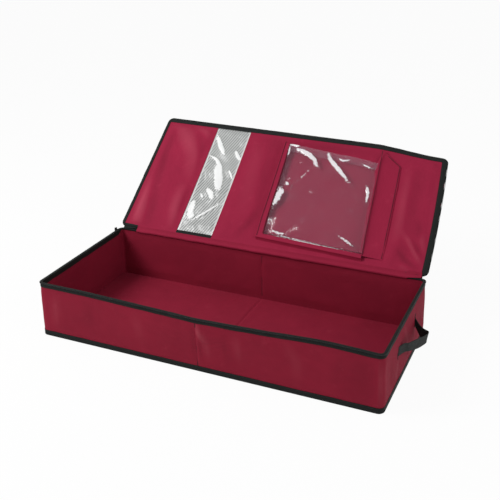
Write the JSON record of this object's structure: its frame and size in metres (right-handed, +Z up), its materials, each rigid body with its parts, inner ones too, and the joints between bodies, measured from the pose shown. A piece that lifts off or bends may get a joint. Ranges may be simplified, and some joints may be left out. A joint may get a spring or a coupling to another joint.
{
  "type": "gift wrap organizer",
  "caption": "Long shallow fabric storage box with a hinged, zipped lid, a clear window strip, a clear bellows pocket inside the lid and webbing carry handles.",
  "frame": {"origin": "centre of the box's flat underside", "axes": "+Z up, +X along the long side, -Y towards the long side opposite the lid's hinge"},
  "size_m": [0.9658, 0.6733, 0.3854],
  "materials": {
    "outer_fabric": "matte burgundy non-woven fabric",
    "lining_fabric": "matte burgundy lining",
    "black_tape": "matte black woven tape",
    "black_webbing": "black woven webbing",
    "black_nylon": "satin black nylon coil",
    "clear_vinyl": "glossy clear vinyl",
    "stiffening_board": "plain grey board",
    "black_metal": "black enamelled metal"
  },
  "bodies": {
    "tray": {"tray_outer_fabric": "outer_fabric", "tray_lining": "lining_fabric", "front_board_left": "stiffening_board", "front_board_right": "stiffening_board", "rear_board_left": "stiffening_board", "rear_board_right": "stiffening_board", "end_board_left": "stiffening_board", "end_board_right": "stiffening_board", "bottom_fabric": "outer_fabric", "bottom_lining": "lining_fabric", "base_board_left": "stiffening_board", "base_board_right": "stiffening_board", "bottom_binding": "black_tape", "rim_zipper_tape": "black_tape", "rim_zipper_coil": "black_nylon", "hinge_strip": "lining_fabric", "handle_left_front_end": "black_webbing", "handle_left_rear_end": "black_webbing", "handle_right_front_end": "black_webbing", "handle_right_rear_end": "black_webbing", "handle_left_front_slit": "outer_fabric", "handle_left_rear_slit": "outer_fabric", "handle_right_front_slit": "outer_fabric", "handle_right_rear_slit": "outer_fabric"},
    "lid": {"lid_cover_left": "outer_fabric", "lid_cover_right": "outer_fabric", "lid_lining_left": "lining_fabric", "lid_lining_right": "lining_fabric", "lid_board_left": "stiffening_board", "lid_board_right": "stiffening_board", "lid_window": "clear_vinyl", "window_lower_binding": "black_tape", "lid_hem_left": "lining_fabric", "lid_hem_right": "lining_fabric", "lid_zipper_tape": "black_tape", "lid_zipper_coil": "black_nylon", "pocket_frame": "lining_fabric", "pocket_window": "clear_vinyl", "pocket_left_pleat": "lining_fabric", "pocket_right_gusset": "lining_fabric", "pocket_bottom_gusset": "lining_fabric"},
    "handle_left": {"handle_left_strap": "black_webbing"},
    "handle_right": {"handle_right_strap": "black_webbing"},
    "slider": {"zipper_slider": "black_metal"},
    "pull": {"zipper_pull": "black_metal"}
  },
  "joints": [
    {"name": "lid_hinge", "type": "hinge", "parent": "tray", "child": "lid", "pos_m": [0, 0.1884, 0.1461], "axis": [-1, 0, 0], "range_deg": [-141, 59]},
    {"name": "handle_left_swing", "type": "hinge", "parent": "tray", "child": "handle_left", "pos_m": [-0.454, 0, 0.086], "axis": [0, 1, 0], "range_deg": [-40, 40]},
    {"name": "handle_right_swing", "type": "hinge", "parent": "tray", "child": "handle_right", "pos_m": [0.454, 0, 0.086], "axis": [0, -1, 0], "range_deg": [-40, 40]},
    {"name": "slider_travel", "type": "slide", "parent": "tray", "child": "slider", "axis": [0, -1, 0], "range_m": [0, 0.331]},
    {"name": "pull_swing", "type": "hinge", "parent": "slider", "child": "pull", "pos_m": [-0.4454, 0.1655, 0.1468], "axis": [0, 1, 0], "range_deg": [0, 170]}
  ]
}
